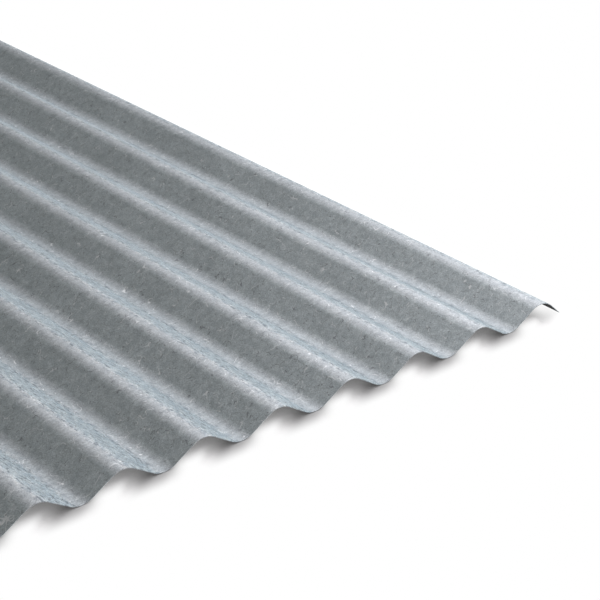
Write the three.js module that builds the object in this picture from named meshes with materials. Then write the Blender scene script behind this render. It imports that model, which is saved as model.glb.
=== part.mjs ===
// Galvanised corrugated roofing sheet, roll-formed from one flat sheet.
// Millimetres. X runs across the corrugations, Y along them and Z up. The origin is the middle of
// the sheet, level with the undersides of the troughs that it rests on.

import * as THREE from 'three';

// Driving dimensions
const sheetLength = 2438;
const sheetThickness = 0.5;
const crestCount = 9;
const crestPitch = 76.2; // from one crest to the next
const waveDepth = 17; // from the top of a trough to the top of a crest, on the same face of the sheet
const bendRadius = 19.5; // of the bend at every crest and trough, at mid thickness
const edgeReach = 26.4; // from the crown of an outermost crest to the edge of the sheet beside it
const edgeBendRadius = 21.5; // of the bend from that crown down to the edge strip, at mid thickness
const edgeSlope = THREE.MathUtils.degToRad(41.5); // of the turned-down strip that ends in that edge
const facetsPerHalfBend = 5; // from the crown of a bend to the flank beside it

// Heights of the sheet at mid thickness
const troughHeight = sheetThickness / 2;
const crestHeight = troughHeight + waveDepth;

/**
 * Slope of the straight flank that is tangent to a crest bend and to the trough bend beside it.
 * The flank crosses the line between the centres of the bends half way, one bend radius from each.
 */
function flankSlope() {
  const across = crestPitch / 2;
  const rise = 2 * bendRadius - waveDepth; // from the crest's centre to the trough's
  const betweenCentres = Math.hypot(across, rise);
  return Math.asin((2 * bendRadius) / betweenCentres) - Math.atan2(rise, across);
}

/**
 * A place on the sheet: a point at mid thickness on a bend, and the vector from it to the upper face.
 * lean is the angle of that vector from the vertical, towards +X. side is 1 on a crest, which bends
 * over its centre, and -1 on a trough, which bends under it. The facets on both sides of the point
 * touch the true arc half way along, so the point lies outside the arc by the secant of half a facet.
 */
function bendStation(crown, side, radius, lean, halfFacet) {
  const centre = new THREE.Vector2(crown.x, crown.y - side * radius);
  const outward = new THREE.Vector2(Math.sin(lean), Math.cos(lean)).divideScalar(Math.cos(halfFacet));
  return {
    middle: outward.clone().multiplyScalar(side * radius).add(centre),
    toUpperFace: outward.multiplyScalar(sheetThickness / 2),
  };
}

/**
 * The stations of a whole bend in order of X. crown is its highest or lowest point. before and after
 * are its two halves, each with a radius and the slope of the flank that it runs into.
 */
function bendStations(crown, side, before, after) {
  const halves = [
    { turn: -side, ...before },
    { turn: side, ...after },
  ];
  const [first, second] = halves.map(({ turn, slope, radius }) => {
    const halfFacet = slope / facetsPerHalfBend / 2;
    const leans = Array.from({ length: facetsPerHalfBend }, (_, i) => turn * (2 * i + 1) * halfFacet);
    return leans.map((lean) => bendStation(crown, side, radius, lean, halfFacet));
  });
  return [...first.reverse(), ...second];
}

/** The station at a free edge, where the straight strip beyond the bend station `last` is sheared off. */
function edgeStation(last, edgeX) {
  const run = edgeX - last.middle.x;
  const drop = Math.abs(run) * Math.tan(edgeSlope);
  const lean = Math.sign(run) * edgeSlope;
  return {
    middle: new THREE.Vector2(edgeX, last.middle.y - drop),
    toUpperFace: new THREE.Vector2(Math.sin(lean), Math.cos(lean)).multiplyScalar(sheetThickness / 2),
  };
}

/** All the stations across the sheet, from one edge over every crest and trough to the other. */
function sectionStations() {
  const inner = { radius: bendRadius, slope: flankSlope() };
  const outer = { radius: edgeBendRadius, slope: edgeSlope };
  const firstCrestX = (-(crestCount - 1) / 2) * crestPitch;
  const lastCrestX = -firstCrestX;
  const stations = [];
  for (let i = 0; i < crestCount; i += 1) {
    const crestX = firstCrestX + i * crestPitch;
    const isFirst = i === 0;
    const isLast = i === crestCount - 1;
    const crest = new THREE.Vector2(crestX, crestHeight);
    stations.push(...bendStations(crest, 1, isFirst ? outer : inner, isLast ? outer : inner));
    if (!isLast) {
      const trough = new THREE.Vector2(crestX + crestPitch / 2, troughHeight);
      stations.push(...bendStations(trough, -1, inner, inner));
    }
  }
  stations.unshift(edgeStation(stations[0], firstCrestX - edgeReach));
  stations.push(edgeStation(stations[stations.length - 1], lastCrestX + edgeReach));
  return stations;
}

/** The closed outline of the sheet's section: back along the lower face, then along the upper one. */
function sectionOutline() {
  const stations = sectionStations();
  const upper = stations.map(({ middle, toUpperFace }) => middle.clone().add(toUpperFace));
  const lower = stations.map(({ middle, toUpperFace }) => middle.clone().sub(toUpperFace));
  return new THREE.Shape([...lower, ...upper.reverse()]);
}

/** The section drawn in X and Y, carried along the sheet's length and stood up with Z as its height. */
function sheetGeometry() {
  const geometry = new THREE.ExtrudeGeometry(sectionOutline(), {
    depth: sheetLength,
    bevelEnabled: false,
  });
  geometry.rotateX(Math.PI / 2);
  geometry.translate(0, sheetLength / 2, 0);
  return geometry;
}

const galvanisedSteel = new THREE.MeshStandardMaterial({
  color: new THREE.Color(0.66, 0.69, 0.71),
  roughness: 0.42,
  metalness: 0.9,
});

const sheet = new THREE.Mesh(sheetGeometry(), galvanisedSteel);
sheet.name = 'corrugated_sheet';

const part = new THREE.Group();
part.add(sheet);

export default part;
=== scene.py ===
"""A galvanised corrugated roofing sheet lying on a pale studio floor.

The sheet is rolled from a section of tangent bends and straight flanks, drawn out along Y, given its
thickness, and dressed with a spangled zinc finish. Lengths are metres and angles are degrees.
"""

import logging
import math
from dataclasses import dataclass
from enum import Enum
from typing import ClassVar

import bmesh
import bpy
from mathutils import Matrix, Vector, noise


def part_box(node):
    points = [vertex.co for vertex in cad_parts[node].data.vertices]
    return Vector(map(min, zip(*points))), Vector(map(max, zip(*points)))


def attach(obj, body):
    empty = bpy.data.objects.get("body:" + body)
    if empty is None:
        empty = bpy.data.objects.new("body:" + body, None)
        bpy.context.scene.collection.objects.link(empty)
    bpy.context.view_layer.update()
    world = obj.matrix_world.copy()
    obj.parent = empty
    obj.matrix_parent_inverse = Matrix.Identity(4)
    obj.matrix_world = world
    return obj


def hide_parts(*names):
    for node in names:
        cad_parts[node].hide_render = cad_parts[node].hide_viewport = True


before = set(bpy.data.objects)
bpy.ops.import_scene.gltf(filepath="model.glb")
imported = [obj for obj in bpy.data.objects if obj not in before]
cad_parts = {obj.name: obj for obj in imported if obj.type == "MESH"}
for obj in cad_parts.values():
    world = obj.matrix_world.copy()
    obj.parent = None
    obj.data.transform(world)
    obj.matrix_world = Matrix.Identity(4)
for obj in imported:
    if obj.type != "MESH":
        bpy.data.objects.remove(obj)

log = logging.getLogger("corrugated_sheet")

SHEET_NODE = "corrugated_sheet"
BODY = "root"
CREST_PITCH = 0.0762  # from one crest to the next
MIDDLE = 0.5  # of a pattern that runs from 0 to 1

Colour = tuple[float, float, float]
Point = tuple[float, float, float]
Span = tuple[float, float]  # where a change along a pattern or a distance starts, and where it is complete
Tints = tuple[Colour, Colour]  # what a pattern multiplies a colour by at its lowest and at its highest
Socket = bpy.types.NodeSocket


class Face(Enum):
    """The finishes on the sheet, by the number of their material slot."""

    ZINC = 0
    SHEARED = 1
    # the underside, painted near black as shade
    BACKING = 2


# ---------------------------------------------------------------- node building


def opaque(colour: Colour | Socket) -> tuple[float, float, float, float] | Socket:
    """Give a plain colour the alpha that a socket wants, and leave a socket alone."""
    return colour if isinstance(colour, Socket) else (*colour, 1.0)


class NodeGraph:
    """A thin wrapper that adds and links shader nodes in one tree."""

    PATCH_FADE: float = 0.06  # how far the noise has to climb from the rim of a patch to its full strength

    def __init__(self, tree: bpy.types.NodeTree) -> None:
        """Take over a tree and empty it.

        Args:
            tree: the node tree to build in.
        """
        self.tree = tree
        tree.nodes.clear()

    def add(self, kind: str, inputs: dict | None = None, **settings) -> bpy.types.Node:
        """Add one node.

        Args:
            kind: the node's class name, without its ShaderNode prefix.
            inputs: values, or sockets to link from, by input name or number.
            settings: properties of the node.

        Returns:
            The new node.
        """
        prefix = "" if kind.startswith("Node") else "ShaderNode"
        node = self.tree.nodes.new(prefix + kind)
        for name, value in settings.items():
            setattr(node, name, value)
        for name, value in (inputs or {}).items():
            if isinstance(value, Socket):
                self.tree.links.new(value, node.inputs[name])
            else:
                node.inputs[name].default_value = value
        return node

    def maths(self, operation: str, *values: float | Socket) -> Socket:
        """Add a Math node.

        Args:
            operation: the node's operation.
            values: its inputs in order.

        Returns:
            The result.
        """
        return self.add("Math", dict(enumerate(values)), operation=operation).outputs[0]

    def vector_maths(self, operation: str, *values: Point | Socket) -> Socket:
        """Add a Vector Math node that gives a vector.

        Args:
            operation: the node's operation.
            values: its vectors in order.

        Returns:
            The result.
        """
        return self.add("VectorMath", dict(enumerate(values)), operation=operation).outputs[0]

    def product(self, value: Socket, *factors: float | Socket) -> Socket:
        """Multiply numbers together."""
        for factor in factors:
            value = self.maths("MULTIPLY", value, factor)
        return value

    def scaled(self, vector: Point | Socket, factor: float | Socket) -> Socket:
        """Multiply a vector by one number."""
        return self.add("VectorMath", {0: vector, "Scale": factor}, operation="SCALE").outputs[0]

    def ramp(
        self, value: Socket, low: float, high: float, to_low: float = 0.0, to_high: float = 1.0
    ) -> Socket:
        """Map a value smoothly from one range to another, and hold it at the ends.

        Args:
            value: what to map.
            low: the value that gives to_low.
            high: the value that gives to_high.
            to_low: result at low.
            to_high: result at high.

        Returns:
            The result.
        """
        limits = {"From Min": low, "From Max": high, "To Min": to_low, "To Max": to_high}
        node = self.add("MapRange", {"Value": value, **limits}, interpolation_type="SMOOTHSTEP")
        return node.outputs["Result"]

    def mix(
        self, factor: float | Socket, first: Colour | Socket, second: Colour | Socket, blend: str = "MIX"
    ) -> Socket:
        """Mix two colours.

        Args:
            factor: share of the second colour.
            first: the colour at 0.
            second: the colour at 1.
            blend: the blend mode.

        Returns:
            The mixed colour.
        """
        inputs = {0: factor, 6: opaque(first), 7: opaque(second)}
        return self.add("Mix", inputs, data_type="RGBA", blend_type=blend).outputs[2]

    def noise(self, vector: Socket, size: float) -> Socket:
        """Add a noise texture.

        Args:
            vector: coordinates, in metres.
            size: size of its largest lumps, in metres.

        Returns:
            The noise, from 0 to 1.
        """
        return self.add("TexNoise", {"Vector": vector, "Scale": 1.0 / size}).outputs[0]

    def bent(self, vector: Socket, scale: float | Socket, reach: Socket) -> Socket:
        """Bend a pattern by a soft noise.

        Args:
            vector: the pattern's coordinates.
            scale: how many bends there are to a metre.
            reach: how far they go, in metres.

        Returns:
            The bent coordinates.
        """
        wobble = self.add("TexNoise", {"Vector": vector, "Scale": scale, "Detail": 1.0})
        sideways = self.vector_maths("SUBTRACT", wobble.outputs["Color"], (MIDDLE, MIDDLE, MIDDLE))
        return self.vector_maths("ADD", vector, self.scaled(sideways, reach))

    def patches(self, vector: Socket, size: float, limit: float) -> Socket:
        """Pick out scattered patches.

        Args:
            vector: coordinates, in metres.
            size: size of the patches, in metres.
            limit: the level of a noise above which a patch begins. A higher one leaves fewer.

        Returns:
            1 in a patch, fading to 0 round it.
        """
        return self.ramp(self.noise(vector, size), limit, limit + self.PATCH_FADE)

    def tinted(self, colour: Socket, strength: float | Socket, level: Socket, tints: Tints) -> Socket:
        """Vary a colour by a pattern.

        Args:
            colour: the colour.
            strength: how much of the variation shows, from 0 to 1.
            level: the pattern, from 0 to 1.
            tints: the shades that it runs between.

        Returns:
            The varied colour.
        """
        return self.mix(strength, colour, self.mix(level, *tints), blend="MULTIPLY")

    def place_group(
        self, tree: bpy.types.NodeTree, vector: Socket, values: dict[str, float]
    ) -> bpy.types.bpy_prop_collection:
        """Place an effect group.

        Args:
            tree: the group.
            vector: coordinates to lay it out on, in metres.
            values: its number inputs, by name.

        Returns:
            Its outputs, by name.
        """
        return self.add("Group", {"Vector": vector, **values}, node_tree=tree).outputs

    def bump(self, height: Socket, relief: float, normal: Socket | None = None) -> Socket:
        """Raise a surface by a height from 0 to 1.

        Args:
            height: the height.
            relief: what a height of 1 stands for, in metres.
            normal: the surface to raise, where it isn't the plain one.

        Returns:
            The new normal.
        """
        inputs = {"Height": height, "Distance": relief}
        if normal is not None:
            inputs["Normal"] = normal
        return self.add("Bump", inputs).outputs[0]


class EffectGroup(NodeGraph):
    """A shader node group with named inputs and outputs."""

    def __init__(self, name: str, inputs: list[str], outputs: list[str]) -> None:
        """Start the group.

        Args:
            name: the group's name.
            inputs: names of its number inputs. It always has a Vector too.
            outputs: names of its number outputs.
        """
        super().__init__(bpy.data.node_groups.new(name, "ShaderNodeTree"))
        self.tree.interface.new_socket(name="Vector", in_out="INPUT", socket_type="NodeSocketVector")
        for direction, names in (("INPUT", inputs), ("OUTPUT", outputs)):
            for socket_name in names:
                self.tree.interface.new_socket(
                    name=socket_name, in_out=direction, socket_type="NodeSocketFloat"
                )
        self.given = self.add("NodeGroupInput").outputs
        self.result = self.add("NodeGroupOutput")

    def put_out(self, **results: Socket) -> None:
        """Send results to the outputs of those names."""
        for name, value in results.items():
            self.tree.links.new(value, self.result.inputs[name])


class ZincEffects:
    """The patterns of hot-dip zinc, as node groups that each finish places with its own values."""

    FIBRE_STRETCH: Point = (1.0, 0.14, 1.0)  # a fibre is about seven times as long as it is wide
    RIPPLE_STRETCH: Point = (0.45, 1.0, 1.0)  # a ripple is about twice as long as it is wide
    FUR_STRETCH: Point = (0.16, 1.0, 1.0)  # the fur runs across the sheet
    ROLL_STRETCH: Point = (1.0, 0.45, 1.0)  # the marks of the rolls run along it
    LEAF_BENDS: float = 220.0  # to a metre, in the rims of the leaves
    LEAF_RIM: float = 0.12  # how far into a leaf its fibres grow to their full height
    FIBRE_NOISE: dict[str, float] = {"Scale": 0.5, "Detail": 2.0, "Roughness": 0.6, "Distortion": 0.6}
    SPECK_SIZES: Span = (0.5, 1.2)  # the smallest and the largest, in radii
    SPECK_RIM: Span = (0.6, 1.4)  # where a speck fades out, in radii
    CURVE_BEND: float = 2.0  # how far the curves are bent, in their own size
    CURVE_RIM: Span = (0.4, 1.4)  # where a line fades out, in widths

    def __init__(self) -> None:
        """Build the groups once."""
        self.spangle = self.make_spangle()
        self.specks = self.make_specks()
        self.curves = self.make_curves()
        self.grain = self.make_grain()
        self.ripple = self.make_drawn_noise("zinc_ripple", self.RIPPLE_STRETCH, 1.0)
        self.fur = self.make_drawn_noise("zinc_fur", self.FUR_STRETCH, 1.0)
        self.roll_marks = self.make_drawn_noise("roll_marks", self.ROLL_STRETCH, 3.0)
        self.sides = self.make_sides()

    def make_spangle(self) -> bpy.types.NodeTree:
        """Make the feathery crystals: small leaves, each with fibres that run its own way.

        Returns:
            The group. Height is the relief, and Tone is one shade for each leaf.
        """
        group = EffectGroup("zinc_spangle", ["Leaf Size", "Fibre Width"], ["Height", "Tone"])
        vector = group.given["Vector"]
        leaf = group.given["Leaf Size"]
        bent = group.bent(vector, self.LEAF_BENDS, leaf)
        layout = {"Vector": bent, "Scale": group.maths("DIVIDE", 1.0, leaf)}
        leaves = group.add("TexVoronoi", layout, voronoi_dimensions="2D")
        borders = group.add(
            "TexVoronoi", layout, voronoi_dimensions="2D", feature="DISTANCE_TO_EDGE"
        )
        shades = group.add("SeparateColor", {"Color": leaves.outputs["Color"]}).outputs
        turn = group.maths("MULTIPLY", shades["Red"], math.tau)
        turned = group.add("VectorRotate", {"Vector": bent, "Angle": turn}, rotation_type="Z_AXIS")
        fine = group.scaled(turned.outputs[0], group.maths("DIVIDE", 1.0, group.given["Fibre Width"]))
        drawn = group.vector_maths("MULTIPLY", fine, self.FIBRE_STRETCH)
        fibres = group.add("TexNoise", {"Vector": drawn, **self.FIBRE_NOISE}, noise_dimensions="2D")
        inside = group.ramp(borders.outputs[0], 0.0, self.LEAF_RIM)
        lift = group.maths("SUBTRACT", fibres.outputs[0], MIDDLE)
        group.put_out(Height=group.maths("MULTIPLY_ADD", lift, inside, MIDDLE), Tone=shades["Green"])
        return group.tree

    def make_specks(self) -> bpy.types.NodeTree:
        """Make small round specks that lie far apart.

        Returns:
            The group. Mask is 1 in a speck. Share is how many of the places that could hold one do.
        """
        group = EffectGroup("zinc_specks", ["Spacing", "Radius", "Share"], ["Mask"])
        scale = group.maths("DIVIDE", 1.0, group.given["Spacing"])
        places = group.add(
            "TexVoronoi", {"Vector": group.given["Vector"], "Scale": scale}, voronoi_dimensions="2D"
        )
        lot = group.add("SeparateColor", {"Color": places.outputs["Color"]}).outputs
        chosen = group.maths("LESS_THAN", lot["Red"], group.given["Share"])
        radius = group.product(group.given["Radius"], group.ramp(lot["Blue"], 0.0, 1.0, *self.SPECK_SIZES))
        off_centre = group.maths("DIVIDE", places.outputs["Distance"], scale)
        dot = group.ramp(group.maths("DIVIDE", off_centre, radius), *self.SPECK_RIM, 1.0, 0.0)
        group.put_out(Mask=group.product(dot, chosen))
        return group.tree

    def make_curves(self) -> bpy.types.NodeTree:
        """Make a net of fine curved lines, as wide all along.

        Returns:
            The group. Mask is 1 on a line. Sweep is the size of the curves, and Width half of a line's.
        """
        group = EffectGroup("zinc_curves", ["Sweep", "Width"], ["Mask"])
        sweep = group.given["Sweep"]
        scale = group.maths("DIVIDE", 1.0, sweep)
        bent = group.bent(group.given["Vector"], scale, group.product(sweep, self.CURVE_BEND))
        net = group.add(
            "TexVoronoi",
            {"Vector": bent, "Scale": scale},
            voronoi_dimensions="2D",
            feature="DISTANCE_TO_EDGE",
        )
        off_centre = group.maths("DIVIDE", group.product(net.outputs[0], sweep), group.given["Width"])
        group.put_out(Mask=group.ramp(off_centre, *self.CURVE_RIM, 1.0, 0.0))
        return group.tree

    def make_grain(self) -> bpy.types.NodeTree:
        """Make the fine frost of the coating, with broad clouds through it.

        Returns:
            The group. Frost and Cloud are noises from 0 to 1, fine and broad.
        """
        group = EffectGroup("zinc_grain", ["Grain Size", "Cloud Size"], ["Frost", "Cloud"])
        vector = group.given["Vector"]
        frost, cloud = (
            group.add(
                "TexNoise",
                {
                    "Vector": vector,
                    "Scale": group.maths("DIVIDE", 1.0, group.given[size]),
                    "Detail": octaves,
                },
            )
            for size, octaves in (("Grain Size", 1.0), ("Cloud Size", 3.0))
        )
        group.put_out(Frost=frost.outputs[0], Cloud=cloud.outputs[0])
        return group.tree

    def make_drawn_noise(self, name: str, stretch: Point, octaves: float) -> bpy.types.NodeTree:
        """Make a soft noise that is drawn out along or across the sheet.

        Args:
            name: the group's name.
            stretch: scale of the pattern along each axis. A smaller one draws it out further.
            octaves: finer layers of the noise.

        Returns:
            The group. Level is the noise, from 0 to 1. Size is its size where it isn't stretched.
        """
        group = EffectGroup(name, ["Size"], ["Level"])
        drawn = group.vector_maths("MULTIPLY", group.given["Vector"], stretch)
        scale = group.maths("DIVIDE", 1.0, group.given["Size"])
        level = group.add("TexNoise", {"Vector": drawn, "Scale": scale, "Detail": octaves})
        group.put_out(Level=level.outputs[0])
        return group.tree

    def make_sides(self) -> bpy.types.NodeTree:
        """Tell the two sides of the corrugations apart.

        Returns:
            The group. Side is -1 half way down the flanks that face -X, 0 on every crest and trough,
            and 1 half way down the flanks that face +X. Shift moves all that towards +X.
        """
        group = EffectGroup("sheet_sides", ["Shift"], ["Side"])
        across = group.add("SeparateXYZ", {"Vector": group.given["Vector"]}).outputs["X"]
        shifted = group.maths("SUBTRACT", across, group.given["Shift"])
        turns = group.maths("DIVIDE", shifted, CREST_PITCH)
        group.put_out(Side=group.maths("SINE", group.product(turns, math.tau)))
        return group.tree


# ---------------------------------------------------------------- finishes


@dataclass(frozen=True)
class LineMarks:
    """Fine curved lines in scattered patches."""

    colour: Colour
    sweep: float  # size of their curves
    width: float  # half the width of a line
    patch: float  # size of the patches
    limit: float  # a patch is where a noise is above this
    offset: Point = (0.0, 0.0, 0.0)  # lays them out apart from other marks

    def mask(self, graph: NodeGraph, effects: ZincEffects, place: Socket) -> Socket:
        """Lay the marks out.

        Args:
            graph: the node graph of the finish that bears them.
            effects: the zinc patterns.
            place: coordinates on the sheet, in metres.

        Returns:
            1 on a line, fading to 0 beside it.
        """
        moved = graph.vector_maths("ADD", place, self.offset)
        lines = graph.place_group(effects.curves, moved, {"Sweep": self.sweep, "Width": self.width})
        return graph.product(lines["Mask"], graph.patches(moved, self.patch, self.limit))


@dataclass(frozen=True)
class GalvanisedFinish:
    """Hot-dip zinc, frosty with small feathery spangles.

    Spans are levels of a pattern. Those named for a side of the corrugations are levels of the wave
    that ZincEffects.make_sides makes, and a shift moves that wave towards +X.
    """

    ELSEWHERE: ClassVar[Point] = (3.0, 5.0, 0.0)  # lays a pattern out apart from another of its kind

    name: str = "galvanised_zinc"
    zinc: Colour = (0.4148, 0.4449, 0.4605)
    edge_tint: Colour = (0.907, 0.97, 0.99)  # of zinc seen nearly edge on
    roughness: float = 0.46
    roughness_spread: float = 0.04

    # painted light: the flanks that face -X are painted paler than the crests, and those that face +X
    # paler and bluer, as light and reflection fixed to the sheet
    minus_x_painted_light_tints: Tints = ((1.0, 1.0, 1.0), (1.095, 1.129, 1.126))  # of the flanks that face -X
    minus_x_flank_span: Span = (-0.75, -0.35)
    plus_x_painted_light_tints: Tints = ((1.0, 1.0, 1.0), (1.082, 1.141, 1.157))  # of the flanks that face +X
    plus_x_flank_span: Span = (0.25, 0.75)
    plus_x_flank_shift: float = -0.0005
    # painted shade: a strip along the troughs is painted darker
    trough_painted_shade_tints: Tints = ((1.0, 1.0, 1.0), (0.905, 0.921, 0.926))  # of the troughs
    trough_shade_span: Span = (0.7, 1.0)
    trough_shade_shift: float = 0.018

    leaf_tints: Tints = ((0.985, 0.985, 0.985), (1.015, 1.015, 1.015))
    leaf_size: float = 0.009
    fibre_tints: Tints = ((0.975, 0.975, 0.975), (1.025, 1.025, 1.025))
    fibre_width: float = 0.0009
    fibre_relief: float = 0.00012
    cloud_tints: Tints = ((0.98, 0.98, 0.98), (1.02, 1.02, 1.02))
    cloud_size: float = 0.09
    calm_span: Span = (0.35, 0.65)  # of the fibres and the clouds
    ripple_size: float = 0.0045
    ripple_relief: float = 0.00015

    frost_tints: Tints = ((0.68, 0.68, 0.68), (1.32, 1.32, 1.32))
    frost_size: float = 0.0011
    frost_strength: float = 0.47
    plus_x_frost: float = 0.78  # its strength on the flanks that face +X
    frost_side_span: Span = (0.0, 0.6)
    mottle_tints: Tints = ((0.86, 0.87, 0.88), (1.14, 1.13, 1.12))
    mottle_size: float = 0.006
    mottle_strength: float = 0.6
    fur_tints: Tints = ((0.93, 0.933, 0.935), (1.07, 1.067, 1.065))
    fur_size: float = 0.0018
    minus_x_fur: float = 0.5  # its strength on the flanks that face -X
    # the roll marks are partly grain and partly painted streaks of reflection: bluish, and only on the
    # flanks that face +X
    roll_and_reflection_streak_tints: Tints = ((0.78, 0.82, 0.855), (1.22, 1.18, 1.145))
    roll_size: float = 0.003
    reflection_streak_side_span: Span = (-0.1, 0.5)
    lively_span: Span = (0.3, 0.7)  # of the frost, the mottle, the fur and the roll marks

    curls: LineMarks = LineMarks(
        colour=(0.7, 0.725, 0.735), sweep=0.014, width=0.0003, patch=0.009, limit=0.54
    )
    strokes: LineMarks = LineMarks(
        colour=(0.263, 0.28, 0.293),
        sweep=0.01,
        width=0.0003,
        patch=0.006,
        limit=0.54,
        offset=ELSEWHERE,
    )
    scuff: Colour = (0.88, 0.9, 0.91)
    scuff_place: Point = (-0.264, -1.212, 0.01)
    scuff_reach: float = 0.034
    scuff_sweep: float = 0.011
    scuff_width: float = 0.0006
    # the dashes are painted dark streaks of reflection, only on the flanks that face +X
    dash: Colour = (0.2, 0.225, 0.245)
    dash_size: float = 0.0026
    dash_limit: float = 0.575  # the dashes are where the noise is above this
    speck: Colour = (0.28, 0.295, 0.31)
    speck_spacing: float = 0.007
    speck_radius: float = 0.0005
    speck_share: float = 0.6

    def toned(
        self,
        graph: NodeGraph,
        effects: ZincEffects,
        place: Socket,
        spangle: bpy.types.bpy_prop_collection,
    ) -> Socket:
        """Vary the zinc's colour over the corrugations, with painted light on the flanks and painted shade
        along the troughs, and by its patterns, and mark it.

        Args:
            graph: the finish's node graph.
            effects: the zinc patterns.
            place: coordinates on the sheet, in metres.
            spangle: the outputs of the spangle.

        Returns:
            The finished colour.
        """
        side, shifted_side, trough_shade_side = (
            graph.place_group(effects.sides, place, {"Shift": shift})["Side"]
            for shift in (0.0, self.plus_x_flank_shift, self.trough_shade_shift)
        )
        minus_x_flanks = graph.ramp(side, *self.minus_x_flank_span, 1.0, 0.0)
        plus_x_flanks = graph.ramp(shifted_side, *self.plus_x_flank_span)
        grain = graph.place_group(
            effects.grain, place, {"Grain Size": self.frost_size, "Cloud Size": self.cloud_size}
        )
        fur = graph.place_group(effects.fur, place, {"Size": self.fur_size})["Level"]
        rolls = graph.place_group(effects.roll_marks, place, {"Size": self.roll_size})["Level"]
        mottle = graph.noise(place, self.mottle_size)
        furless = graph.maths("MULTIPLY_ADD", minus_x_flanks, 1 - self.minus_x_fur, plus_x_flanks)
        fur_strength = graph.maths("SUBTRACT", 1.0, furless)
        frost_strength = graph.ramp(
            shifted_side, *self.frost_side_span, self.frost_strength, self.plus_x_frost
        )
        reflection_streak_strength = graph.ramp(shifted_side, *self.reflection_streak_side_span)
        colour = self.zinc
        for strength, level, tints in (
            # painted light on both flanks, and painted shade along the troughs
            (1.0, minus_x_flanks, self.minus_x_painted_light_tints),
            (1.0, plus_x_flanks, self.plus_x_painted_light_tints),
            (1.0, graph.ramp(trough_shade_side, *self.trough_shade_span), self.trough_painted_shade_tints),
            (1.0, spangle["Tone"], self.leaf_tints),
            (1.0, graph.ramp(spangle["Height"], *self.calm_span), self.fibre_tints),
            (frost_strength, graph.ramp(grain["Frost"], *self.lively_span), self.frost_tints),
            (self.mottle_strength, graph.ramp(mottle, *self.lively_span), self.mottle_tints),
            (fur_strength, graph.ramp(fur, *self.lively_span), self.fur_tints),
            (reflection_streak_strength, graph.ramp(rolls, *self.lively_span), self.roll_and_reflection_streak_tints),
            (1.0, graph.ramp(grain["Cloud"], *self.calm_span), self.cloud_tints),
        ):
            colour = graph.tinted(colour, strength, level, tints)
        return self.marked(graph, effects, place, reflection_streak_strength, colour)

    def marked(
        self,
        graph: NodeGraph,
        effects: ZincEffects,
        place: Socket,
        reflection_streak_strength: Socket,
        colour: Socket,
    ) -> Socket:
        """Lay the separate marks over the zinc: curls, strokes, scuffs, dashes and specks.

        Args:
            graph: the finish's node graph.
            effects: the zinc patterns.
            place: coordinates on the sheet, in metres.
            reflection_streak_strength: how strongly the roll marks and the dashes show, from 0 to 1. They
                are painted only on the flanks that face +X, partly as streaks of reflection.
            colour: the zinc's colour.

        Returns:
            The finished colour.
        """
        scuffs = graph.place_group(
            effects.curves, place, {"Sweep": self.scuff_sweep, "Width": self.scuff_width}
        )
        off = graph.add("VectorMath", {0: place, 1: self.scuff_place}, operation="DISTANCE")
        corner = graph.ramp(off.outputs["Value"], 0.0, self.scuff_reach, 1.0, 0.0)
        elsewhere = graph.vector_maths("ADD", place, self.ELSEWHERE)
        dashes = graph.place_group(effects.roll_marks, elsewhere, {"Size": self.dash_size})["Level"]
        dash = graph.ramp(dashes, self.dash_limit, self.dash_limit + graph.PATCH_FADE)
        specks = graph.place_group(
            effects.specks,
            place,
            {"Spacing": self.speck_spacing, "Radius": self.speck_radius, "Share": self.speck_share},
        )
        for mask, shade in (
            (self.curls.mask(graph, effects, place), self.curls.colour),
            (self.strokes.mask(graph, effects, place), self.strokes.colour),
            (graph.product(scuffs["Mask"], corner), self.scuff),
            (graph.product(dash, reflection_streak_strength), self.dash),
            (specks["Mask"], self.speck),
        ):
            colour = graph.mix(mask, colour, shade)
        return colour

    def material(self, effects: ZincEffects) -> bpy.types.Material:
        """Build the material.

        Args:
            effects: the zinc patterns.

        Returns:
            The material.
        """
        material = bpy.data.materials.new(self.name)
        material.use_nodes = True
        graph = NodeGraph(material.node_tree)
        place = graph.add("TexCoord").outputs["Object"]
        spangle = graph.place_group(
            effects.spangle, place, {"Leaf Size": self.leaf_size, "Fibre Width": self.fibre_width}
        )
        feathered = graph.bump(spangle["Height"], self.fibre_relief)
        ripple = graph.place_group(effects.ripple, place, {"Size": self.ripple_size})
        spread = graph.maths("SUBTRACT", spangle["Tone"], MIDDLE)
        shader = graph.add(
            "BsdfPrincipled",
            {
                "Base Color": self.toned(graph, effects, place, spangle),
                "Metallic": 1.0,
                "Roughness": graph.maths("MULTIPLY_ADD", spread, self.roughness_spread, self.roughness),
                "Specular Tint": opaque(self.edge_tint),
                "Normal": graph.bump(ripple["Level"], self.ripple_relief, feathered),
            },
        )
        graph.add("OutputMaterial", {"Surface": shader.outputs[0]})
        return material


@dataclass(frozen=True)
class ShearedFinish:
    """Dull steel where the shear parted the sheet, with zinc dragged over part of it."""

    name: str = "sheared_edge"
    steel: Colour = (0.16, 0.162, 0.165)
    zinc: Colour = (0.24, 0.255, 0.265)
    grain_size: float = 0.0006
    grain_relief: float = 0.00008
    cloud_size: float = 0.02
    cloud_span: Span = (0.4, 0.6)  # from bare steel to zinc
    roughness: float = 0.5

    def material(self, effects: ZincEffects) -> bpy.types.Material:
        """Build the material.

        Args:
            effects: the zinc patterns.

        Returns:
            The material.
        """
        material = bpy.data.materials.new(self.name)
        material.use_nodes = True
        graph = NodeGraph(material.node_tree)
        grain = graph.place_group(
            effects.grain,
            graph.add("TexCoord").outputs["Object"],
            {"Grain Size": self.grain_size, "Cloud Size": self.cloud_size},
        )
        shader = graph.add(
            "BsdfPrincipled",
            {
                "Base Color": graph.mix(
                    graph.ramp(grain["Cloud"], *self.cloud_span), self.steel, self.zinc
                ),
                "Metallic": 1.0,
                "Roughness": self.roughness,
                "Normal": graph.bump(grain["Frost"], self.grain_relief),
            },
        )
        graph.add("OutputMaterial", {"Surface": shader.outputs[0]})
        return material


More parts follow.
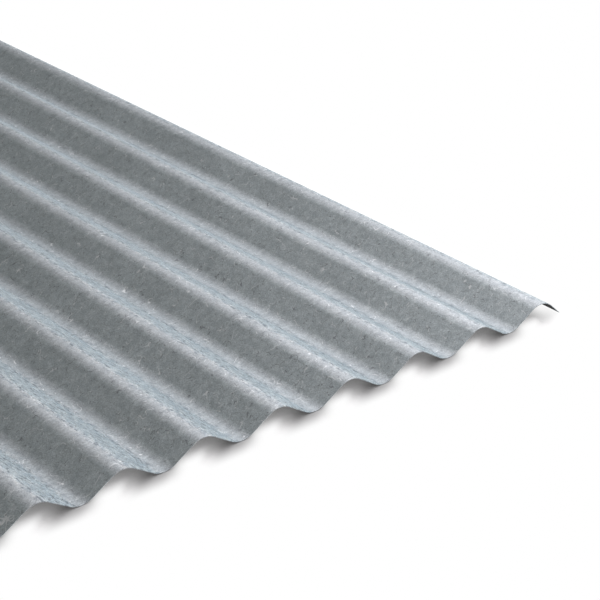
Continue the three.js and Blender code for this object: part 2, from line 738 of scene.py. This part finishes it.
@dataclass(frozen=True)
class ShadedUndersideFinish:
    """A matt near-black underside, a painted shade that stands in for the deep shade under the sheet,
    mottled paler in clouds.
    """

    name: str = "painted_shade_underside"
    # painted shade: near black, as the underside lies in deep shade
    underside_shade: Colour = (0.03, 0.031, 0.033)
    shaded_dust: Colour = (0.055, 0.056, 0.056)
    grain_size: float = 0.0015
    grain_relief: float = 0.00015
    cloud_size: float = 0.12
    cloud_span: Span = (0.4, 0.65)  # from clean to dusty
    roughness: float = 0.85
    gloss: float = 0.15

    def material(self, effects: ZincEffects) -> bpy.types.Material:
        """Build the material.

        Args:
            effects: the zinc patterns.

        Returns:
            The material.
        """
        material = bpy.data.materials.new(self.name)
        material.use_nodes = True
        graph = NodeGraph(material.node_tree)
        grain = graph.place_group(
            effects.grain,
            graph.add("TexCoord").outputs["Object"],
            {"Grain Size": self.grain_size, "Cloud Size": self.cloud_size},
        )
        shader = graph.add(
            "BsdfPrincipled",
            {
                "Base Color": graph.mix(
                    graph.ramp(grain["Cloud"], *self.cloud_span), self.underside_shade, self.shaded_dust
                ),
                "Roughness": self.roughness,
                "Specular IOR Level": self.gloss,
                "Normal": graph.bump(grain["Frost"], self.grain_relief),
            },
        )
        graph.add("OutputMaterial", {"Surface": shader.outputs[0]})
        return material


# ---------------------------------------------------------------- the sheet


@dataclass
class CorrugatedSheet:
    """The whole sheet: its rolled section, its length, and what shearing leaves on its rim."""

    crests_beside_middle: int = 4  # on each side of the crest in the middle
    wave_depth: float = 0.017  # from the top of a trough to the top of a crest
    thickness: float = 0.0005
    bend_radius: float = 0.0195  # at mid thickness
    edge_reach: float = 0.0264  # from the crown of an outermost crest to the edge beside it
    edge_bend_radius: float = 0.0215  # of the bend from that crown down to the edge strip
    edge_slope: float = 41.5  # of the turned-down strip that ends in that edge
    steps_per_half_bend: int = 7
    rows: int = 40
    sway: float = 0.00012  # how much a long sheet undulates
    sway_length: float = 0.3
    rim_rounding: float = 0.00008
    rim_segments: int = 2
    broad_tilt: float = 45.0  # the rim is steeper than this, and no other face is
    crease_angle: float = 20.0  # edges that turn more than this are shaded sharp
    weld_distance: float = 0.000001  # vertices nearer than this become one

    def flank_slope(self) -> float:
        """Slope of the flank that is tangent to the bends of a crest and a trough, in radians."""
        across = CREST_PITCH / 2
        rise = 2 * self.bend_radius - self.wave_depth
        return math.asin(2 * self.bend_radius / math.hypot(across, rise)) - math.atan2(rise, across)

    def bend(
        self,
        shape: bmesh.types.BMesh,
        tip: bmesh.types.BMVert,
        centre: Vector,
        angle: float,
        steps: int,
    ) -> bmesh.types.BMVert:
        """Roll the section on round one bend.

        Args:
            shape: the mesh.
            tip: the section's last vertex.
            centre: the bend's centre.
            angle: how far to turn, in radians, downwards where positive.
            steps: facets in the bend.

        Returns:
            The section's new last vertex.
        """
        turned = bmesh.ops.spin(
            shape, geom=[tip], cent=centre, axis=(0, 1, 0), angle=angle, steps=steps, use_duplicate=False
        )
        return turned["geom_last"][0]

    def straight(
        self, shape: bmesh.types.BMesh, tip: bmesh.types.BMVert, length: float, climb: float
    ) -> bmesh.types.BMVert:
        """Run the section on in a straight line.

        Args:
            shape: the mesh.
            tip: the section's last vertex.
            length: length of the line.
            climb: its slope, in radians, upwards where positive.

        Returns:
            The section's new last vertex.
        """
        new = bmesh.ops.extrude_vert_indiv(shape, verts=[tip])["verts"]
        run = Vector((math.cos(climb), 0, math.sin(climb))) * length
        bmesh.ops.translate(shape, verts=new, vec=run)
        return new[0]

    def roll_section(self, shape: bmesh.types.BMesh, y: float) -> None:
        """Roll the upper face's section, from the middle crest to one edge, then mirror it.

        Args:
            shape: an empty mesh.
            y: where along the sheet the section lies.
        """
        slope = self.flank_slope()
        edge_slope = math.radians(self.edge_slope)
        mid_height = self.thickness / 2
        crown_height = mid_height + self.wave_depth
        step_across = Vector((CREST_PITCH / 2, 0, 0))
        crest = Vector((0, y, crown_height - self.bend_radius))
        trough = Vector((0, y, mid_height + self.bend_radius))
        between_centres = math.hypot(step_across.x, trough.z - crest.z)
        flank = 2 * math.sqrt((between_centres / 2) ** 2 - self.bend_radius**2)
        edge_bend = Vector((0, y, crown_height - self.edge_bend_radius))
        strip = (self.edge_reach - self.edge_bend_radius * math.sin(edge_slope)) / math.cos(edge_slope)
        half, whole = self.steps_per_half_bend, 2 * self.steps_per_half_bend

        tip = shape.verts.new((0, y, crown_height + self.thickness / 2))
        tip = self.bend(shape, tip, crest, slope, half)
        for number in range(1, self.crests_beside_middle + 1):
            tip = self.straight(shape, tip, flank, -slope)
            tip = self.bend(shape, tip, trough + (2 * number - 1) * step_across, -2 * slope, whole)
            tip = self.straight(shape, tip, flank, slope)
            crown_at = 2 * number * step_across
            tip = self.bend(shape, tip, crest + crown_at, slope, half)
            if number < self.crests_beside_middle:
                tip = self.bend(shape, tip, crest + crown_at, slope, half)
        tip = self.bend(shape, tip, edge_bend + crown_at, edge_slope, half)
        self.straight(shape, tip, strip, -edge_slope)
        section = shape.verts[:] + shape.edges[:]
        bmesh.ops.mirror(shape, geom=section, axis="X", merge_dist=self.weld_distance)

    def draw_out(self, shape: bmesh.types.BMesh, length: float) -> None:
        """Draw the section out along Y into the upper face, in rows.

        Args:
            shape: the mesh that holds the section.
            length: length of the sheet.
        """
        drawn = bmesh.ops.extrude_edge_only(shape, edges=shape.edges[:])["geom"]
        far_end = [item for item in drawn if isinstance(item, bmesh.types.BMVert)]
        bmesh.ops.translate(shape, verts=far_end, vec=(0, length, 0))
        bmesh.ops.recalc_face_normals(shape, faces=shape.faces[:])
        lengthwise = [edge for edge in shape.edges if edge.calc_length() > length / 2]
        bmesh.ops.subdivide_edges(shape, edges=lengthwise, cuts=self.rows - 1, use_grid_fill=True)

    def undulate(self, shape: bmesh.types.BMesh) -> None:
        """Let the sheet lie as a long thin sheet does, never quite true. Nothing sinks below the floor."""
        for vertex in shape.verts:
            place = Vector((vertex.co.x, vertex.co.y, 0)) / self.sway_length
            vertex.co.z += self.sway * (1 + noise.noise(place)) / 2

    def thicken(self, shape: bmesh.types.BMesh) -> None:
        """Give the sheet its thickness and round its rim, which shows the sheared finish."""
        bmesh.ops.solidify(shape, geom=shape.faces[:], thickness=self.thickness)
        shape.normal_update()
        steepest = math.cos(math.radians(self.broad_tilt))
        rim = {face for face in shape.faces if abs(face.normal.z) < steepest}
        for face in set(shape.faces) - rim:
            face.material_index = (Face.ZINC if face.normal.z > 0 else Face.BACKING).value
        corners = [edge for edge in shape.edges if sum(face in rim for face in edge.link_faces) == 1]
        rounded = bmesh.ops.bevel(
            shape,
            geom=corners,
            offset=self.rim_rounding,
            segments=self.rim_segments,
            profile=0.5,
            affect="EDGES",
            material=-1,
        )
        rim = {face for face in rim if face.is_valid}
        for face in rim.union(rounded["faces"]):
            face.material_index = Face.SHEARED.value

    def build(self, finishes: dict[Face, bpy.types.Material]) -> bpy.types.Object:
        """Build and dress the sheet, in the place of its solid.

        Args:
            finishes: the material of each kind of face.

        Returns:
            The finished piece.
        """
        low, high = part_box(SHEET_NODE)
        shape = bmesh.new()
        self.roll_section(shape, low.y)
        self.draw_out(shape, high.y - low.y)
        self.undulate(shape)
        self.thicken(shape)
        crease = math.radians(self.crease_angle)
        for edge in shape.edges:
            edge.smooth = edge.calc_face_angle() < crease
        for face in shape.faces:
            face.smooth = True
        mesh = bpy.data.meshes.new("rolled_sheet")
        shape.to_mesh(mesh)
        shape.free()
        for face in Face:
            mesh.materials.append(finishes[face])
        sheet = bpy.data.objects.new("rolled_sheet", mesh)
        bpy.context.scene.collection.objects.link(sheet)
        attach(sheet, BODY)
        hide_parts(SHEET_NODE)
        return sheet


# ---------------------------------------------------------------- the studio


@dataclass(frozen=True)
class SoftLamp:
    """A rectangular lamp that faces the sheet. Its angles are those of its place, seen from its aim."""

    name: str
    azimuth: float  # from +Y, towards +X where positive
    elevation: float
    width: float
    height: float
    radiance: float
    colour: Colour = (1.0, 0.965, 0.998)
    distance: float = 6.0
    aim: Point = (0.0, -0.6, 0.0)

    def build(self) -> bpy.types.Object:
        """Hang the lamp.

        Returns:
            The lamp.
        """
        light = bpy.data.lights.new(self.name, "AREA")
        light.shape = "RECTANGLE"
        light.size = self.width
        light.size_y = self.height
        light.color = self.colour
        light.energy = self.radiance * math.pi * self.width * self.height
        lamp = bpy.data.objects.new(self.name, light)
        azimuth, elevation = math.radians(self.azimuth), math.radians(self.elevation)
        level = Vector((math.sin(azimuth), math.cos(azimuth), 0)) * math.cos(elevation)
        outward = level + Vector((0, 0, math.sin(elevation)))
        turn = outward.to_track_quat("Z", "Y").to_matrix().to_4x4()
        lamp.matrix_world = Matrix.Translation(Vector(self.aim) + outward * self.distance) @ turn
        lamp.visible_camera = False
        bpy.context.scene.collection.objects.link(lamp)
        return lamp


@dataclass(frozen=True)
class PaintedEndShadow:
    """A shadow painted on the floor at the sheet's near end: deep before the troughs, and gone before the
    crests. Painted light clears the lamps' own shadow before the crests and under the right-hand corner.

    Shifts are towards -X. A distance out from the near end is negative under the sheet.
    """

    lean: float = 0.855  # how far the shadow leans towards -X as it goes out
    trough_shift: float = 0.009  # from a trough to its darkest place
    trough_shade: float = 0.64  # how dark that is
    trough_reach: float = 0.02  # how far out and in its shade goes
    side_fade: float = 0.05  # the shade fades away over this distance before the sheet's sides
    crest_shift: float = 0.016  # from a crest to its clearest place
    crest_span: Span = (-0.2, 0.8)  # levels of the crests' wave
    crest_out: Span = (-0.016, 0.003)  # distances out
    corner_span: Span = (0.3, 0.328)  # X, under the strip that ends in the right-hand edge
    corner_out: Span = (-0.08, -0.045)  # distances out
    corner_level: float = 0.9  # how clear the floor is there

    def masks(self, graph: NodeGraph) -> tuple[Socket, Socket]:
        """Lay the painted shadow and the painted clearing out on the floor.

        Args:
            graph: the floor's node graph.

        Returns:
            How much darker the floor is than the lamps leave it, and how much of their shadow is
            cleared away, from 0 to 1.
        """
        low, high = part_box(SHEET_NODE)
        place = graph.add("SeparateXYZ", {"Vector": graph.add("TexCoord").outputs["Object"]}).outputs
        out = graph.maths("SUBTRACT", low.y, place["Y"])
        across = graph.maths("MULTIPLY_ADD", out, self.lean, place["X"])
        trough_wave, crest_wave = (
            graph.maths(
                "COSINE", graph.product(graph.maths("ADD", across, shift), math.tau / CREST_PITCH)
            )
            for shift in (self.trough_shift, self.crest_shift)
        )
        beside = graph.maths("SUBTRACT", graph.maths("ABSOLUTE", across), high.x)
        shade = graph.product(
            graph.ramp(trough_wave, -1.0, 1.0, 1.0, 0.0),
            graph.ramp(beside, -self.side_fade, 0.0, 1.0, 0.0),
            graph.ramp(
                graph.maths("ABSOLUTE", out), 0.0, self.trough_reach, self.trough_shade, 0.0
            ),
        )
        before_crests = graph.product(
            graph.ramp(crest_wave, *self.crest_span), graph.ramp(out, *self.crest_out)
        )
        at_corner = graph.product(
            graph.ramp(place["X"], *self.corner_span, 0.0, self.corner_level),
            graph.ramp(out, *self.corner_out),
        )
        return shade, graph.maths("MAXIMUM", before_crests, at_corner)


@dataclass
class Studio:
    """A pale floor, a soft fill all round, and two broad lamps to the right, behind and in front."""

    WHITE: ClassVar[Colour] = (1.0, 1.0, 1.0)

    floor_span: float = 40.0
    floor_drop: float = 0.00005  # keeps the floor from meeting the troughs face to face
    floor_colour: Colour = (0.888, 0.9, 0.89)
    floor_glow: float = 0.15  # lifts the floor to white where no shadow falls
    shadow_span: Span = (0.001, 0.02)  # how far out from the sheet the floor turns white
    painted_end_shadow: PaintedEndShadow = PaintedEndShadow()
    fill: Colour = (0.2235, 0.2228, 0.2157)
    fill_height: float = 0.1  # sine of the elevation above which the fill is even
    lamps: tuple[SoftLamp, ...] = (
        SoftLamp("back_lamp", azimuth=55.71, elevation=66.46, width=5.31, height=10.01, radiance=1.235),
        SoftLamp("front_lamp", azimuth=127.39, elevation=36.38, width=42.57, height=10.63, radiance=1.374),
    )

    def shadow_room(self, graph: NodeGraph) -> Socket:
        """Measure how far the floor is from the sheet's outline.

        Args:
            graph: the floor's node graph.

        Returns:
            0 near the sheet, rising to 1 where no shadow of it falls.
        """
        low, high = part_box(SHEET_NODE)
        reach = (high - low) / 2
        place = graph.add("TexCoord").outputs["Object"]
        beyond = graph.vector_maths(
            "SUBTRACT", graph.vector_maths("ABSOLUTE", place), (reach.x, reach.y, 0.0)
        )
        outside = graph.vector_maths("MAXIMUM", beyond, (0.0, 0.0, 0.0))
        distance = graph.add("VectorMath", {0: outside}, operation="LENGTH").outputs["Value"]
        return graph.ramp(distance, *self.shadow_span)

    def floor_material(self) -> bpy.types.Material:
        """Build the floor's finish: matt, with the lamps' shadow of the sheet on it, a shadow and
        clearings painted at its near end, and white beyond.

        Returns:
            The material. It isn't seen from below, so that the sheet's underside can be.
        """
        material = bpy.data.materials.new("studio_floor")
        material.use_nodes = True
        graph = NodeGraph(material.node_tree)
        rays = graph.add("LightPath").outputs
        seen = graph.maths("MAXIMUM", rays["Is Camera Ray"], rays["Is Glossy Ray"])
        seen = graph.maths("MAXIMUM", seen, rays["Is Transmission Ray"])
        matt = graph.add("BsdfDiffuse", {"Color": opaque(self.floor_colour)}).outputs[0]
        white = graph.add("Emission", {"Strength": 1.0}).outputs[0]
        glow = graph.add("Emission", {"Strength": graph.product(seen, self.floor_glow)})
        lifted = graph.add("AddShader", {0: matt, 1: glow.outputs[0]}).outputs[0]
        # a painted shadow at the near end, and painted light that clears the lamps' shadow there
        shade, cleared = self.painted_end_shadow.masks(graph)
        whitened = graph.product(graph.maths("MAXIMUM", self.shadow_room(graph), cleared), seen)
        open_floor = graph.add("MixShader", {0: whitened, 1: lifted, 2: white}).outputs[0]
        dark = graph.add("Emission", {"Strength": 0.0}).outputs[0]
        shaded = graph.product(shade, seen)
        above = graph.add("MixShader", {0: shaded, 1: open_floor, 2: dark}).outputs[0]
        clear = graph.add("BsdfTransparent").outputs[0]
        below = graph.add("NewGeometry").outputs["Backfacing"]
        surface = graph.add("MixShader", {0: below, 1: above, 2: clear}).outputs[0]
        graph.add("OutputMaterial", {"Surface": surface})
        return material

    def build_floor(self) -> bpy.types.Object:
        """Lay the floor.

        Returns:
            The floor, which is stage and no part of the object.
        """
        shape = bmesh.new()
        level = Matrix.Translation((0, 0, -self.floor_drop))
        bmesh.ops.create_grid(shape, x_segments=1, y_segments=1, size=self.floor_span / 2, matrix=level)
        mesh = bpy.data.meshes.new("studio_floor")
        shape.to_mesh(mesh)
        shape.free()
        mesh.materials.append(self.floor_material())
        floor = bpy.data.objects.new("studio_floor", mesh)
        bpy.context.scene.collection.objects.link(floor)
        return floor

    def build_fill(self) -> None:
        """Light the scene from all round, in an even grey over a white horizon, and show it as white."""
        world = bpy.data.worlds.new("studio_fill")
        bpy.context.scene.world = world
        world.use_nodes = True
        graph = NodeGraph(world.node_tree)
        direction = graph.add("TexCoord").outputs["Generated"]
        height = graph.add("SeparateXYZ", {"Vector": direction}).outputs["Z"]
        above = graph.ramp(height, 0.0, self.fill_height)
        light = graph.mix(above, self.WHITE, self.fill)
        colour = graph.mix(graph.add("LightPath").outputs["Is Camera Ray"], light, self.WHITE)
        background = graph.add("Background", {"Color": colour}).outputs[0]
        graph.add("OutputWorld", {"Surface": background})

    def build(self) -> None:
        """Set up the floor and the lights, with colours shown as they are."""
        self.build_floor()
        self.build_fill()
        for lamp in self.lamps:
            lamp.build()
        bpy.context.scene.view_settings.view_transform = "Standard"


@dataclass
class ViewCamera:
    """A camera off the sheet's near left corner that looks down across it, back and to the right."""

    place: Point = (-0.79445, -2.16999, 0.72782)
    heading: float = -40.53  # from +Y, towards -X where positive
    tilt: float = 63.65  # from straight down
    roll: float = 1.36
    lens: float = 106.53
    sensor: float = 36.0

    def build(self) -> bpy.types.Object:
        """Make the camera the scene's own.

        Returns:
            The camera.
        """
        lens = bpy.data.cameras.new("view_camera")
        lens.lens = self.lens
        lens.sensor_width = self.sensor
        camera = bpy.data.objects.new("view_camera", lens)
        turn = (
            Matrix.Rotation(math.radians(self.heading), 4, "Z")
            @ Matrix.Rotation(math.radians(self.tilt), 4, "X")
            @ Matrix.Rotation(math.radians(self.roll), 4, "Z")
        )
        camera.matrix_world = Matrix.Translation(self.place) @ turn
        bpy.context.scene.collection.objects.link(camera)
        bpy.context.scene.camera = camera
        return camera


def main() -> None:
    """Build the camera, the studio and the sheet, and log how many faces the sheet has."""
    logging.basicConfig(level=logging.INFO, format="%(name)s: %(message)s")
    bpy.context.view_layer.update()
    ViewCamera().build()
    Studio().build()
    effects = ZincEffects()
    finishes = {
        Face.ZINC: GalvanisedFinish().material(effects),
        Face.SHEARED: ShearedFinish().material(effects),
        Face.BACKING: ShadedUndersideFinish().material(effects),
    }
    sheet = CorrugatedSheet().build(finishes)
    log.info("%s: %d faces in place of %s", sheet.name, len(sheet.data.polygons), SHEET_NODE)


if __name__ == "__main__":
    main()
